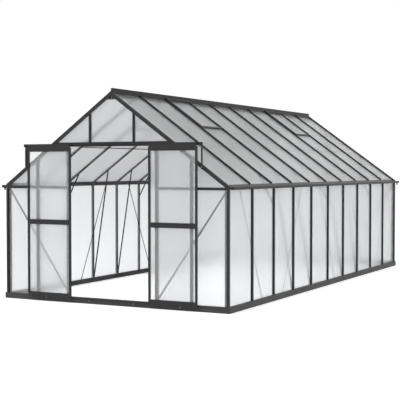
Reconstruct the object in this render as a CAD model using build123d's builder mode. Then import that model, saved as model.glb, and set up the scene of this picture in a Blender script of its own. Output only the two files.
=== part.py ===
from build123d import *
import os
from math import cos, radians, sin, tan

# Walk-in greenhouse of aluminium bars and translucent sheets, in millimetres.
# X runs along the front, Y from the front to the back and Z up. The origin is
# on the ground, in the middle of the base.

# Overall layout
bay_pitch = 605
bay_count = 10
end_margin = 30.5
base_width = 2980
base_height = 67
roof_angle = 35.6
eave_height = 1360

# Base, a folded steel section open to the inside
base_sheet = 3
base_top_flange = 44
base_foot_flange = 11

# Sheets and the bars that hold them
sheet_thickness = 4
sheet_gap = 1
side_inset = 14
end_inset = 9
wall_bar_width = 22
wall_bar_stand = 20.5
roof_bar_width = 20
roof_bar_stand = 17
web_thickness = 3
inner_flange_width = 32
flange_thickness = 3
tube_wall = 2

# Corner posts and end rafters share one angle section
corner_front_leg = 27
corner_side_leg = 32
rafter_depth = 40
rafter_top_leg = 26
mitre_gap = 0.5

# Eave beam, gutter and ridge
eave_beam_drop = 43
eave_beam_width = 20
gutter_drop = 41
gutter_height = 30
gutter_reach = 64
gutter_wall = 2.5
clamp_lip = 42
clamp_thickness = 3
spout_radius = 9
spout_length = 30
spout_inset = 20
ridge_half_width = 10
ridge_rise = 35.3
ridge_depth = 107
ridge_wing = 30
ridge_cap_skirt = 14
ridge_cap_thickness = 2

# Front and back walls
mullion_place = 1021
mullion_width = 28
door_post_place = 587
door_post_width = 34
stud_place = 290
stud_width = 14
crossbar_drop = 46
crossbar_height = 27
head_gap = 13
head_height = 50
back_bay_count = 5

# Roof vents in the third and eighth bays
vent_bays = (2, 7)
vent_length = 606
vent_rail = 22
vent_stand = 7
vent_depth = 20
vent_gap = 1

# Bracing inside
purlin_place = 805
purlin_size = 9
strut_width = 14
strut_thickness = 10
strut_frames = (3, 4, 6, 7)
strut_lift = 13
strut_rise = 158
knee_frames = (2, 5, 8)
knee_drop = 205
knee_rise = 118
strap_width = 14
end_strap_width = 22
strap_thickness = 1.5
side_straps = ((0, 1), (3, 2), (4, 5), (6, 7), (9, 8))
gusset_thickness = 3
gusset_drop = 45

# Sliding doors, drawn open
door_travel = 512
door_meeting_gap = 6
door_overlap = 6
door_foot = 50
door_head = 1783
door_front = -45
door_depth = 18
stile_width = 24
mid_rail_foot = 900
mid_rail_height = 52
top_rail_height = 39
bottom_rail_height = 53
door_pane_setback = 12

# Cover over the wheels, door track, its brackets and the guide at the foot
cover_height = 45
cover_thickness = 3
cover_inset = 6
cover_corner = 8
cover_gap = 5.5
track_half_length = 1175
track_width = 18.5
track_height = 33
track_clearance = 14
track_wall = 2.5
track_rib = 1.8
track_lip = 11.5
bracket_width = 18
bracket_thickness = 4
standoff_width = 30
standoff_pitch = 350
standoff_steps = (-2, -1, 0, 1, 2)
wheel_radius = 10
wheel_width = 6.5
wheel_gap = 0.3
wheel_pitch = 30
axle_radius = 2.5
hanger_inset = 110
guide_wall = 2.5
guide_reach = 20
guide_drop = 12
guide_end = 12
shoe_length = 45
shoe_arm = 5
shoe_gap = 0.3
shoe_inset = 90

# Worked out from the sizes above
base_length = bay_count * bay_pitch + 2 * end_margin
half_length = base_length / 2
wall_x = base_width / 2 - side_inset
wall_y = -half_length + end_inset
slope = radians(roof_angle)
sheet_back = wall_bar_stand + sheet_thickness
wall_depth = sheet_back + flange_thickness
roof_sheet_back = roof_bar_stand + sheet_thickness
roof_depth = roof_sheet_back + flange_thickness
half_web = web_thickness / 2 + sheet_gap
beam_x = wall_x - sheet_back
inner_x = beam_x - eave_beam_width
eave_beam_foot = eave_height - eave_beam_drop
ridge_height = eave_height + wall_x * tan(slope) + ridge_rise
ridge_foot = ridge_height - ridge_depth
head_foot = door_head + head_gap
crossbar_foot = eave_height - crossbar_drop
gutter_floor = eave_height - gutter_drop
gutter_rim = gutter_floor + gutter_height


def bar_line(number):
    """Place along the house of a bar, or of a bay's middle where the number is a half."""
    return -half_length + end_margin + number * bay_pitch


bar_lines = [bar_line(number) for number in range(1, bay_count)]


def roof_point(up, depth):
    """X and Z on the right slope, up the roof from the eave and below its outer plane."""
    x = wall_x - up * cos(slope) - depth * sin(slope)
    z = eave_height + up * sin(slope) - depth * cos(slope)
    return x, z


def roof_height(x, depth):
    """Height at which the plane a depth below the right slope passes a place across."""
    return eave_height + (wall_x - x) * tan(slope) - depth / cos(slope)


def way_up(x, depth):
    """Way up the slope at which the plane at a depth passes a place across."""
    return (wall_x - x - depth * sin(slope)) / cos(slope)


def roof_cut(depth):
    """Plane parallel to the right slope, a depth below its outer plane."""
    x, z = roof_point(0, depth)
    return Plane(origin=(x, 0, z), z_dir=(sin(slope), 0, cos(slope)))


def slope_plane(y, up):
    """Plane across the right slope: x along the house, y into the roof, z up the slope."""
    x, z = roof_point(up, 0)
    return Plane(origin=(x, y, z), x_dir=(0, 1, 0), z_dir=(-cos(slope), 0, sin(slope)))


def side_plane(y, z):
    """Level plane at the right wall: x along the house, y inwards from its outer face."""
    return Plane(origin=(wall_x, y, z), x_dir=(0, 1, 0), z_dir=(0, 0, 1))


def front_plane(x, z):
    """Level plane at the front wall: x to the right, y inwards from its outer face."""
    return Plane(origin=(x, wall_y, z), x_dir=(1, 0, 0), z_dir=(0, 0, 1))


def section_plane(y):
    """Upright plane across the house: x to the right, y up, z towards the front."""
    return Plane(origin=(0, y, 0), x_dir=(1, 0, 0), z_dir=(0, -1, 0))


def end_plane(x):
    """Upright plane along the house: x towards the back, y up, z to the right."""
    return Plane(origin=(x, 0, 0), x_dir=(0, 1, 0), z_dir=(1, 0, 0))


def write(part, label):
    part.label = label
    export_step(part, f"parts/{label}.step")


def write_pair(part, label, other_label, about=Plane.YZ):
    """Writes a piece and its mirror image on the other side of the house."""
    write(part, label)
    with BuildPart() as other:
        mirror(part, about=about)
    write(other.part, other_label)


def bar_section(width, stand, flange=True):
    """Glazing bar: a tube that stands out, a web between two sheets, an inner flange."""
    back = stand + sheet_thickness
    with BuildSketch() as section:
        with Locations((0, stand / 2)):
            Rectangle(width, stand)
            Rectangle(width - 2 * tube_wall, stand - 2 * tube_wall, mode=Mode.SUBTRACT)
        with Locations((0, (stand + back) / 2)):
            Rectangle(web_thickness, sheet_thickness)
        if flange:
            with Locations((0, back + flange_thickness / 2)):
                Rectangle(inner_flange_width, flange_thickness)
    return section.sketch


def flange_section(stand):
    """Web and inner flange of a glazing bar without its tube."""
    back = stand + sheet_thickness
    with BuildSketch() as section:
        with Locations((0, (stand + back) / 2)):
            Rectangle(web_thickness, sheet_thickness)
        with Locations((0, back + flange_thickness / 2)):
            Rectangle(inner_flange_width, flange_thickness)
    return section.sketch


def angle_outline(wide, tall, leg_wide, leg_tall, inset):
    """Corner points of an angle whose legs have a real thickness, moved in by an inset."""
    return [
        (inset, inset),
        (wide - inset, inset),
        (wide - inset, leg_wide - inset),
        (leg_tall - inset, leg_wide - inset),
        (leg_tall - inset, tall - inset),
        (inset, tall - inset),
    ]


def angle_section(wide, tall, leg_wide, leg_tall):
    """Hollow angle for corner posts and end rafters, from its outer corner."""
    with BuildSketch() as section:
        Polygon(*angle_outline(wide, tall, leg_wide, leg_tall, 0))
        Polygon(*angle_outline(wide, tall, leg_wide, leg_tall, tube_wall), mode=Mode.SUBTRACT)
    return section.sketch


def rod(start, end, width, thickness, side):
    """Flat bar between two points, with its width along a given side direction."""
    with BuildPart() as bar:
        run = Vector(*end) - Vector(*start)
        with BuildSketch(Plane(origin=start, x_dir=side, z_dir=run)):
            Rectangle(width, thickness)
        extrude(amount=run.length)
    return bar.part


def sheet_spans(lines, first, last, half_gap):
    """Pairs of edges of the sheets that lie between bars."""
    starts = [first] + [line + half_gap for line in lines]
    ends = [line - half_gap for line in lines] + [last]
    return list(zip(starts, ends))


os.makedirs("parts", exist_ok=True)


# Base frame, four rails joined at mitred corners
def base_rail(plane, length):
    """One rail of the base: x of its plane runs inwards, y up and z along the rail."""
    with BuildPart() as rail:
        with BuildSketch(plane):
            Polygon(
                (0, 0),
                (base_foot_flange, 0),
                (base_foot_flange, base_sheet),
                (base_sheet, base_sheet),
                (base_sheet, base_height - base_sheet),
                (base_top_flange, base_height - base_sheet),
                (base_top_flange, base_height),
                (0, base_height),
            )
        extrude(amount=length / 2, both=True)
        for end in (-1, 1):
            corner = plane.origin + plane.z_dir * (end * length / 2)
            mitre = Plane(origin=corner, x_dir=plane.y_dir, z_dir=plane.x_dir + plane.z_dir * end)
            split(bisect_by=mitre, keep=Keep.BOTTOM)
    return rail.part


front_rail_plane = Plane(origin=(0, -half_length, 0), x_dir=(0, 1, 0), z_dir=(1, 0, 0))
side_rail_plane = Plane(origin=(base_width / 2, 0, 0), x_dir=(-1, 0, 0), z_dir=(0, 1, 0))
front_rail = base_rail(front_rail_plane, base_width)
side_rail = base_rail(side_rail_plane, base_length)
with BuildPart() as base_frame:
    add(front_rail)
    add(side_rail)
    mirror(front_rail, about=Plane.XZ)
    mirror(side_rail, about=Plane.YZ)
write(base_frame.part, "base_frame")

# Corner posts, cut to the underside of the end rafters
with BuildPart() as post:
    with BuildSketch(Plane(origin=(wall_x, wall_y, base_height), x_dir=(-1, 0, 0), z_dir=(0, 0, -1))):
        add(angle_section(corner_front_leg, corner_side_leg, wall_bar_stand, wall_bar_stand))
    extrude(amount=base_height - eave_height)
    split(bisect_by=roof_cut(rafter_depth), keep=Keep.BOTTOM)
with BuildPart() as corner_posts:
    add(post.part)
    mirror(about=Plane.YZ)
    mirror(about=Plane.XZ)
write(corner_posts.part, "corner_posts")

# Side walls: bars between the bays, cut under the roof, and the sheets they hold
with BuildPart() as wall_bar:
    with BuildSketch(side_plane(0, base_height)):
        add(bar_section(wall_bar_width, wall_bar_stand))
    extrude(amount=eave_beam_foot - base_height)
    with BuildSketch(side_plane(0, eave_beam_foot)):
        add(bar_section(wall_bar_width, wall_bar_stand, flange=False))
    extrude(amount=eave_height - eave_beam_foot)
    split(bisect_by=roof_cut(roof_depth), keep=Keep.BOTTOM)
with BuildPart() as right_wall_bars:
    with Locations(*[(0, line, 0) for line in bar_lines]):
        add(wall_bar.part)
write_pair(right_wall_bars.part, "right_wall_bars", "left_wall_bars")

wall_sheet_start = wall_y + sheet_back + sheet_gap
wall_spans = sheet_spans(bar_lines, wall_sheet_start, -wall_sheet_start, half_web)
wall_sheet_head = roof_height(wall_x - wall_bar_stand, roof_depth)
with BuildPart() as right_wall_sheets:
    for start, end in wall_spans:
        with Locations((wall_x - wall_bar_stand, start, base_height)):
            Box(
                sheet_thickness,
                end - start,
                wall_sheet_head - base_height,
                align=(Align.MAX, Align.MIN, Align.MIN),
            )
write_pair(right_wall_sheets.part, "right_wall_sheets", "left_wall_sheets")

# Eave beams, hollow, with their tops cut to the slope
beam_start = wall_y + corner_side_leg
with BuildPart() as eave_beam:
    with BuildSketch(section_plane(beam_start)):
        Polygon(
            (beam_x, eave_beam_foot),
            (beam_x, roof_height(beam_x, roof_depth)),
            (inner_x, roof_height(inner_x, roof_depth)),
            (inner_x, eave_beam_foot),
        )
        Polygon(
            (beam_x - tube_wall, eave_beam_foot + tube_wall),
            (beam_x - tube_wall, roof_height(beam_x, roof_depth) - tube_wall),
            (inner_x + tube_wall, roof_height(inner_x, roof_depth) - 2 * tube_wall),
            (inner_x + tube_wall, eave_beam_foot + tube_wall),
            mode=Mode.SUBTRACT,
        )
    extrude(amount=2 * beam_start)
with BuildPart() as eave_beams:
    add(eave_beam.part)
    mirror(about=Plane.YZ)
write(eave_beams.part, "eave_beams")

# Gutters, each a channel with a nose that clamps the lower ends of the roof sheets
nose_x = wall_x + 2 * gutter_wall
lip_start = way_up(nose_x, roof_bar_stand - clamp_thickness)
gutter_length = -2 * wall_y
with BuildPart() as gutter:
    with BuildSketch(section_plane(wall_y)):
        Polygon(
            (wall_x, gutter_floor),
            (wall_x + gutter_reach, gutter_floor),
            (wall_x + gutter_reach, gutter_rim),
            (wall_x + gutter_reach - gutter_wall, gutter_rim),
            (wall_x + gutter_reach - gutter_wall, gutter_floor + gutter_wall),
            (nose_x, gutter_floor + gutter_wall),
            (nose_x, roof_height(nose_x, roof_bar_stand - clamp_thickness)),
            roof_point(clamp_lip, roof_bar_stand - clamp_thickness),
            roof_point(clamp_lip, roof_bar_stand),
            (nose_x - gutter_wall, roof_height(nose_x - gutter_wall, roof_bar_stand)),
            (nose_x - gutter_wall, roof_height(nose_x - gutter_wall, roof_sheet_back)),
            (wall_x, roof_height(wall_x, roof_sheet_back)),
        )
    extrude(amount=-gutter_length)
    # The lip starts behind the end rafters, which stand higher than the sheets
    for end in (-1, 1):
        with Locations((wall_x, end * -wall_y, eave_height)):
            Box(
                2 * clamp_lip,
                2 * rafter_top_leg,
                2 * (eave_height - gutter_rim + roof_bar_stand),
                align=(Align.MAX, Align.CENTER, Align.CENTER),
                mode=Mode.SUBTRACT,
            )
    # End caps, and a spout at one end
    for end in (wall_y, -wall_y - gutter_wall):
        with Locations((nose_x, end, gutter_floor)):
            Box(
                wall_x + gutter_reach - nose_x,
                gutter_wall,
                gutter_height,
                align=Align.MIN,
            )
    spout_x = (nose_x + wall_x + gutter_reach) / 2
    with BuildSketch(Plane.XY.offset(gutter_floor)):
        with Locations((spout_x, -wall_y - spout_inset)):
            Circle(spout_radius)
    extrude(amount=-spout_length)
    with BuildSketch(Plane.XY.offset(gutter_floor + gutter_wall)):
        with Locations((spout_x, -wall_y - spout_inset)):
            Circle(spout_radius - tube_wall)
    extrude(amount=-spout_length - gutter_wall, mode=Mode.SUBTRACT)
with BuildPart() as left_gutter:
    with Locations(Location((0, 0, 0), (0, 0, 180))):
        add(gutter.part)
write(gutter.part, "right_gutter")
write(left_gutter.part, "left_gutter")

# Ridge beam with a wing under each slope, and the cap over it
ridge_start = wall_y + rafter_top_leg
ridge_length = -2 * ridge_start
wing_end = way_up(ridge_half_width, roof_depth) - ridge_wing
wing_root = roof_height(ridge_half_width, roof_depth)
with BuildPart() as ridge_beam:
    with BuildSketch(section_plane(ridge_start)):
        with Locations((0, (ridge_foot + ridge_height - ridge_cap_thickness) / 2)):
            Rectangle(2 * ridge_half_width, ridge_height - ridge_cap_thickness - ridge_foot)
            Rectangle(
                2 * (ridge_half_width - tube_wall),
                ridge_height - ridge_cap_thickness - ridge_foot - 2 * tube_wall,
                mode=Mode.SUBTRACT,
            )
        Polygon(
            (ridge_half_width, wing_root),
            roof_point(wing_end, roof_depth),
            roof_point(wing_end, roof_depth + flange_thickness),
            (ridge_half_width, roof_height(ridge_half_width, roof_depth + flange_thickness)),
        )
        mirror(about=Plane.YZ)
    extrude(amount=-ridge_length)
write(ridge_beam.part, "ridge_beam")

cap_half_width = ridge_half_width + ridge_cap_thickness
with BuildPart() as ridge_cap:
    with BuildSketch(section_plane(ridge_start)):
        with Locations((0, ridge_height)):
            Rectangle(2 * cap_half_width, ridge_cap_skirt, align=(Align.CENTER, Align.MAX))
        with Locations((0, ridge_height - ridge_cap_thickness)):
            Rectangle(
                2 * ridge_half_width,
                ridge_cap_skirt,
                align=(Align.CENTER, Align.MAX),
                mode=Mode.SUBTRACT,
            )
    extrude(amount=-ridge_length)
write(ridge_cap.part, "ridge_cap")

# Roof bars, from the clamp lip to the ridge
bar_end = way_up(0, 0)
with BuildPart() as roof_bar:
    with BuildSketch(slope_plane(0, clamp_lip)):
        add(bar_section(roof_bar_width, roof_bar_stand))
    extrude(amount=bar_end - clamp_lip)
    with BuildSketch(slope_plane(0, sheet_gap)):
        add(flange_section(roof_bar_stand))
    extrude(amount=clamp_lip - sheet_gap)
    split(bisect_by=Plane.YZ.offset(ridge_half_width), keep=Keep.TOP)
with BuildPart() as right_roof_bars:
    with Locations(*[(0, line, 0) for line in bar_lines]):
        add(roof_bar.part)
write_pair(right_roof_bars.part, "right_roof_bars", "left_roof_bars")

# Roof sheets, shorter where a vent closes the top of the bay
roof_sheet_start = wall_y + wall_bar_stand + sheet_gap
roof_spans = sheet_spans(bar_lines, roof_sheet_start, -roof_sheet_start, half_web)
sheet_foot = way_up(nose_x - gutter_wall, roof_bar_stand)
sheet_head = way_up(ridge_half_width + sheet_gap, roof_sheet_back)
vent_foot = sheet_head - vent_length
with BuildPart() as right_roof_sheets:
    for bay, (start, end) in enumerate(roof_spans):
        head = vent_foot - sheet_gap if bay in vent_bays else sheet_head
        with BuildSketch(slope_plane(start, sheet_foot)):
            with Locations((0, roof_bar_stand)):
                Rectangle(end - start, sheet_thickness, align=Align.MIN)
        extrude(amount=head - sheet_foot)
write_pair(right_roof_sheets.part, "right_roof_sheets", "left_roof_sheets")

# Vents: a sill bar across the bay, a frame that lies on it and a sheet in the frame
vent_half_width = bay_pitch / 2 - roof_bar_width / 2 - vent_gap
vent_middles = [bar_line(bay + 0.5) for bay in vent_bays]
vent_back = vent_depth - vent_stand


def vent_frame(middle):
    """Frame of a vent, cut upright at its head to lie against the ridge beam."""
    with BuildPart() as frame:
        with BuildSketch(slope_plane(middle, vent_foot)):
            with Locations((0, -vent_stand)):
                Rectangle(2 * vent_half_width, vent_depth, align=(Align.CENTER, Align.MIN))
        extrude(amount=bar_end - vent_foot)
        split(bisect_by=Plane.YZ.offset(ridge_half_width), keep=Keep.TOP)
        with BuildSketch(slope_plane(middle, vent_foot + vent_rail)):
            with Locations((0, -vent_stand)):
                Rectangle(
                    2 * (vent_half_width - vent_rail), vent_depth, align=(Align.CENTER, Align.MIN)
                )
        extrude(amount=vent_length - 2 * vent_rail, mode=Mode.SUBTRACT)
    return frame.part


with BuildPart() as right_vent_frames:
    for middle in vent_middles:
        add(vent_frame(middle))
with BuildPart() as roof_vent_frames:
    add(right_vent_frames.part)
    mirror(about=Plane.YZ)
write(roof_vent_frames.part, "roof_vent_frames")

with BuildPart() as roof_vent_sheets:
    for middle in vent_middles:
        with BuildSketch(slope_plane(middle, vent_foot + vent_rail)):
            with Locations((0, vent_back - sheet_thickness)):
                Rectangle(
                    2 * (vent_half_width - vent_rail),
                    sheet_thickness,
                    align=(Align.CENTER, Align.MIN),
                )
        extrude(amount=vent_length - 2 * vent_rail)
    mirror(about=Plane.YZ)
write(roof_vent_sheets.part, "roof_vent_sheets")

with BuildPart() as roof_vent_sills:
    for middle in vent_middles:
        with BuildSketch(slope_plane(middle, vent_foot)):
            with Locations((0, vent_back)):
                Rectangle(
                    2 * vent_half_width, roof_bar_stand - vent_back, align=(Align.CENTER, Align.MIN)
                )
            with Locations((0, roof_bar_stand)):
                Rectangle(
                    bay_pitch - 2 * half_web, sheet_thickness, align=(Align.CENTER, Align.MIN)
                )
        extrude(amount=vent_rail)
    mirror(about=Plane.YZ)
write(roof_vent_sills.part, "roof_vent_sills")


# End walls: rafters, posts, studs, crossbars and head beam
def end_rafter():
    with BuildPart() as rafter:
        with BuildSketch(slope_plane(wall_y, -rafter_depth)):
            add(angle_section(rafter_top_leg, rafter_depth, roof_bar_stand, wall_bar_stand))
        extrude(amount=bar_end + 2 * rafter_depth)
        split(bisect_by=Plane.YZ.offset(wall_x), keep=Keep.BOTTOM)
        split(bisect_by=Plane.YZ.offset(mitre_gap / 2), keep=Keep.TOP)
    return rafter.part


with BuildPart() as front_rafters:
    add(end_rafter())
    mirror(about=Plane.YZ)
write_pair(front_rafters.part, "front_rafters", "back_rafters", Plane.XZ)


def upright(place, width, foot):
    """Bar of an end wall from a height up to the underside of the end rafter."""
    with BuildPart() as bar:
        with BuildSketch(front_plane(place, foot)):
            add(bar_section(width, wall_bar_stand))
        extrude(amount=ridge_height - foot)
        split(bisect_by=roof_cut(rafter_depth), keep=Keep.BOTTOM)
    return bar.part


def crossbar(start, end, foot, height, setback=0):
    """Level bar between two places across, its flange set back from the flanges it meets."""
    middle = foot + height / 2
    with BuildPart() as bar:
        with BuildSketch(Plane(origin=(start, wall_y, middle), x_dir=(0, 0, -1), z_dir=(1, 0, 0))):
            add(bar_section(height, wall_bar_stand, flange=False))
        extrude(amount=end - start)
        with Locations(((start + end) / 2, wall_y + sheet_back, middle)):
            Box(
                end - start - 2 * setback,
                flange_thickness,
                inner_flange_width,
                align=(Align.CENTER, Align.MIN, Align.CENTER),
            )
        split(bisect_by=roof_cut(rafter_depth), keep=Keep.BOTTOM)
    return bar.part


def paired(*parts):
    """Pieces of the right half together with their mirror images."""
    with BuildPart() as pair:
        for part in parts:
            add(part)
        mirror(about=Plane.YZ)
    return pair.part


door_post_outer = door_post_place + door_post_width / 2
with BuildPart() as door_post:
    with BuildSketch(front_plane(door_post_place, base_height)):
        with Locations((0, wall_bar_stand / 2)):
            Rectangle(door_post_width, wall_bar_stand)
            Rectangle(door_post_width - 2 * tube_wall, wall_bar_stand - 2 * tube_wall, mode=Mode.SUBTRACT)
        with Locations((-door_post_width / 2, wall_bar_stand)):
            Rectangle(door_post_width / 2, sheet_thickness + flange_thickness, align=Align.MIN)
        with Locations((0, sheet_back)):
            Rectangle(door_post_width / 2, flange_thickness, align=Align.MIN)
    extrude(amount=head_foot - base_height)
write(paired(door_post.part), "door_posts")
stud_foot = head_foot + head_height
front_wall_bars = paired(
    upright(mullion_place, mullion_width, base_height),
    upright(stud_place, stud_width, stud_foot),
)
write(front_wall_bars, "front_wall_bars")

def crossbar_row(edges, setback):
    """Crossbars at the height of the eaves, each between two edges across."""
    return paired(
        *[crossbar(a, b, crossbar_foot, crossbar_height, setback) for a, b in edges]
    )


half_mullion = mullion_width / 2
cross_end = wall_x - corner_front_leg
front_edges = (
    (door_post_outer, mullion_place - half_mullion),
    (mullion_place + half_mullion, cross_end),
)
front_crossbars = crossbar_row(front_edges, inner_flange_width / 2 - half_mullion)
write(front_crossbars, "front_crossbars")

with BuildPart() as head_beam:
    add(crossbar(-wall_x, wall_x, head_foot, head_height))
    mirror(about=Plane.YZ, mode=Mode.INTERSECT)
write(head_beam.part, "front_head_beam")


def sheet_cell(left, right, foot, head):
    """Sheet of an end wall between four edges, cut to the roof line."""
    with BuildPart() as cell:
        with BuildSketch(section_plane(wall_y + wall_bar_stand)):
            apex = roof_height(0, roof_sheet_back + sheet_gap)
            low = roof_height(wall_x, roof_sheet_back + sheet_gap)
            Polygon((-wall_x, 0), (wall_x, 0), (wall_x, low), (0, apex), (-wall_x, low))
            with Locations(((left + right) / 2, (foot + head) / 2)):
                Rectangle(right - left, head - foot, mode=Mode.INTERSECT)
        extrude(amount=-sheet_thickness)
    return cell.part


cross_middle = crossbar_foot + crossbar_height / 2
head_middle = head_foot + head_height / 2
post_edge = door_post_place + sheet_gap
corner_edge = wall_x - wall_bar_stand - sheet_gap
mullion_in = mullion_place - half_web
mullion_out = mullion_place + half_web
front_sheets = paired(
    sheet_cell(post_edge, mullion_in, base_height, cross_middle - half_web),
    sheet_cell(mullion_out, corner_edge, base_height, cross_middle - half_web),
)
write(front_sheets, "front_wall_sheets")
gable_sheets = paired(
    sheet_cell(post_edge, mullion_in, cross_middle + half_web, head_middle - half_web),
    sheet_cell(mullion_out, corner_edge, cross_middle + half_web, head_middle - half_web),
    sheet_cell(stud_place + half_web, mullion_in, head_middle + half_web, ridge_height),
    sheet_cell(0, stud_place - half_web, head_middle + half_web, ridge_height),
)
write(gable_sheets, "front_gable_sheets")

# Back wall, equal bays with a crossbar at the eaves
back_pitch = 2 * wall_x / back_bay_count
back_lines = [back_pitch * (number + 0.5) for number in range(back_bay_count // 2)]
back_bars = paired(*[upright(line, wall_bar_width, base_height) for line in back_lines])
with BuildPart() as back_wall_bars:
    mirror(back_bars, about=Plane.XZ)
write(back_wall_bars.part, "back_wall_bars")
half_bar = wall_bar_width / 2
back_edges = sheet_spans(back_lines, -back_lines[0] + half_bar, cross_end, half_bar)
back_cross = crossbar_row(back_edges, inner_flange_width / 2 - half_bar)
with BuildPart() as back_crossbars:
    mirror(back_cross, about=Plane.XZ)
write(back_crossbars.part, "back_crossbars")
back_spans = sheet_spans(back_lines, 0, corner_edge, half_web)
lower_cells = [sheet_cell(a, b, base_height, cross_middle - half_web) for a, b in back_spans]
upper_cells = [sheet_cell(a, b, cross_middle + half_web, ridge_height) for a, b in back_spans]
with BuildPart() as back_wall_sheets:
    mirror(paired(*lower_cells), about=Plane.XZ)
write(back_wall_sheets.part, "back_wall_sheets")
with BuildPart() as back_gable_sheets:
    mirror(paired(*upper_cells), about=Plane.XZ)
write(back_gable_sheets.part, "back_gable_sheets")

# Purlins under the roof bars
with BuildPart() as purlins:
    with BuildSketch(slope_plane(bar_lines[0] - inner_flange_width, purlin_place - purlin_size / 2)):
        with Locations((0, roof_depth)):
            Rectangle(bar_lines[-1] - bar_lines[0] + 2 * inner_flange_width, purlin_size, align=Align.MIN)
    extrude(amount=purlin_size)
    mirror(about=Plane.YZ)
write(purlins.part, "purlins")

# Struts and knee braces between wall bars and roof bars
inner_face = wall_x - wall_depth


def strut(line, foot, head):
    """Flat bar from the inner face of a wall bar to the underside of its roof bar."""
    head_x = wall_x - (head - eave_height + roof_depth / cos(slope)) / tan(slope)
    with BuildPart() as bar:
        reach = strut_width
        start = Vector(inner_face - strut_width / 2, line, foot)
        end = Vector(head_x, line, head)
        way = (end - start).normalized()
        add(rod(start - way * reach, end + way * reach, strut_thickness, strut_width, (0, 1, 0)))
        split(bisect_by=Plane.YZ.offset(inner_face), keep=Keep.BOTTOM)
        split(bisect_by=roof_cut(roof_depth), keep=Keep.BOTTOM)
        split(bisect_by=Plane.XY.offset(base_height), keep=Keep.TOP)
    return bar.part


strut_foot = base_height + strut_lift
strut_head = eave_height + strut_rise
right_struts = [strut(bar_line(frame), strut_foot, strut_head) for frame in strut_frames]
write(paired(*right_struts), "struts")
knee_foot = eave_height - knee_drop
knee_head = eave_height + knee_rise
right_knees = [strut(bar_line(frame), knee_foot, knee_head) for frame in knee_frames]
write(paired(*right_knees), "knee_braces")


# Flat straps across the inner faces of the walls
strap_x = inner_face - strap_thickness / 2
with BuildPart() as right_straps:
    for top_bay, foot_bay in side_straps:
        start = Vector(strap_x, bar_line(foot_bay + 0.5), base_height)
        end = Vector(strap_x, bar_line(top_bay + 0.5), eave_beam_foot)
        reach = (end - start).normalized() * strap_width
        add(rod(start - reach, end + reach, strap_thickness, strap_width, (1, 0, 0)))
    split(bisect_by=Plane.XY.offset(base_height), keep=Keep.TOP)
    split(bisect_by=Plane.XY.offset(eave_beam_foot), keep=Keep.BOTTOM)
write_pair(right_straps.part, "right_wall_straps", "left_wall_straps")

strap_y = wall_y + wall_depth + strap_thickness / 2
corner_x = wall_x - corner_side_leg
front_strap = rod(
    (door_post_place, strap_y, base_height + end_strap_width),
    (corner_x, strap_y, crossbar_foot),
    strap_thickness,
    end_strap_width,
    (0, 1, 0),
)
with BuildPart() as end_wall_straps:
    add(paired(front_strap))
    mirror(about=Plane.XZ)
write(end_wall_straps.part, "end_wall_straps")

# Gusset plates where the end rafters meet
gusset_apex = roof_height(0, rafter_depth)
with BuildPart() as front_gusset:
    with BuildSketch(section_plane(wall_y + wall_bar_stand)):
        half = gusset_drop / tan(slope)
        Polygon((-half, gusset_apex - gusset_drop), (half, gusset_apex - gusset_drop), (0, gusset_apex))
    extrude(amount=gusset_thickness)
with BuildPart() as apex_gussets:
    add(front_gusset.part)
    mirror(about=Plane.XZ)
write(apex_gussets.part, "apex_gussets")

# Door track in front of the gable, a channel open to the front under a short lip
door_front_face = -half_length + door_front
door_back = door_front_face + door_depth
track_front = door_front_face + cover_thickness + cover_gap
track_back = track_front + track_width
track_foot = door_head + track_clearance
track_top = track_foot + track_height
with BuildPart() as door_track:
    with BuildSketch(end_plane(-track_half_length)):
        with Locations((track_front, track_foot)):
            Rectangle(track_width, track_height, align=Align.MIN)
        with Locations((track_front + track_wall, track_foot + track_wall)):
            Rectangle(
                track_width - 2 * track_wall,
                track_height - 2 * track_wall,
                align=Align.MIN,
                mode=Mode.SUBTRACT,
            )
        with Locations((track_front, track_foot + track_wall + track_rib)):
            Rectangle(
                track_wall,
                track_height - track_wall - track_rib - track_lip,
                align=Align.MIN,
                mode=Mode.SUBTRACT,
            )
    extrude(amount=2 * track_half_length)
write(door_track.part, "door_track")

with BuildPart() as standoffs:
    places = [standoff_pitch * step for step in standoff_steps]
    with Locations(*[(place, track_back, track_foot + track_height / 2) for place in places]):
        Box(
            standoff_width,
            wall_y - track_back,
            track_height / 2,
            align=(Align.CENTER, Align.MIN, Align.CENTER),
        )

# End brackets hang the track ends on the rafters, each an angle with a foot
bracket_x = track_half_length - bracket_width / 2
bracket_inner = track_half_length - bracket_width
bracket_foot = roof_height(bracket_inner, rafter_depth)
bracket_height = track_top - bracket_foot
with BuildPart() as end_bracket:
    with Locations((bracket_x, track_back, bracket_foot)):
        Box(
            bracket_width,
            bracket_thickness,
            bracket_height,
            align=(Align.CENTER, Align.MIN, Align.MIN),
        )
    with Locations((bracket_inner, track_back, bracket_foot)):
        Box(
            bracket_thickness,
            wall_y - track_back,
            bracket_height,
            align=Align.MIN,
        )
    with Locations((bracket_x, wall_y, bracket_foot)):
        Box(
            bracket_width,
            bracket_thickness,
            rafter_depth,
            align=(Align.CENTER, Align.MAX, Align.MIN),
        )
with BuildPart() as track_brackets:
    add(standoffs.part)
    add(paired(end_bracket.part))
write(track_brackets.part, "track_brackets")

# Guide rail along the front of the base, with a lip that the door shoes hook behind
door_outer_edge = door_post_outer + door_overlap + door_travel
door_inner_edge = door_meeting_gap / 2 + door_travel
door_width = door_outer_edge - door_inner_edge
guide_half = door_outer_edge + guide_end
lip_front = -half_length - guide_reach
with BuildPart() as door_guide:
    with BuildSketch(end_plane(-guide_half)):
        Polygon(
            (wall_y, base_height),
            (-half_length, base_height),
            (lip_front + guide_wall, base_height),
            (lip_front + guide_wall, base_height - guide_drop),
            (lip_front, base_height - guide_drop),
            (lip_front, base_height + guide_wall),
            (wall_y, base_height + guide_wall),
        )
    extrude(amount=2 * guide_half)
write(door_guide.part, "door_guide")

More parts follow.
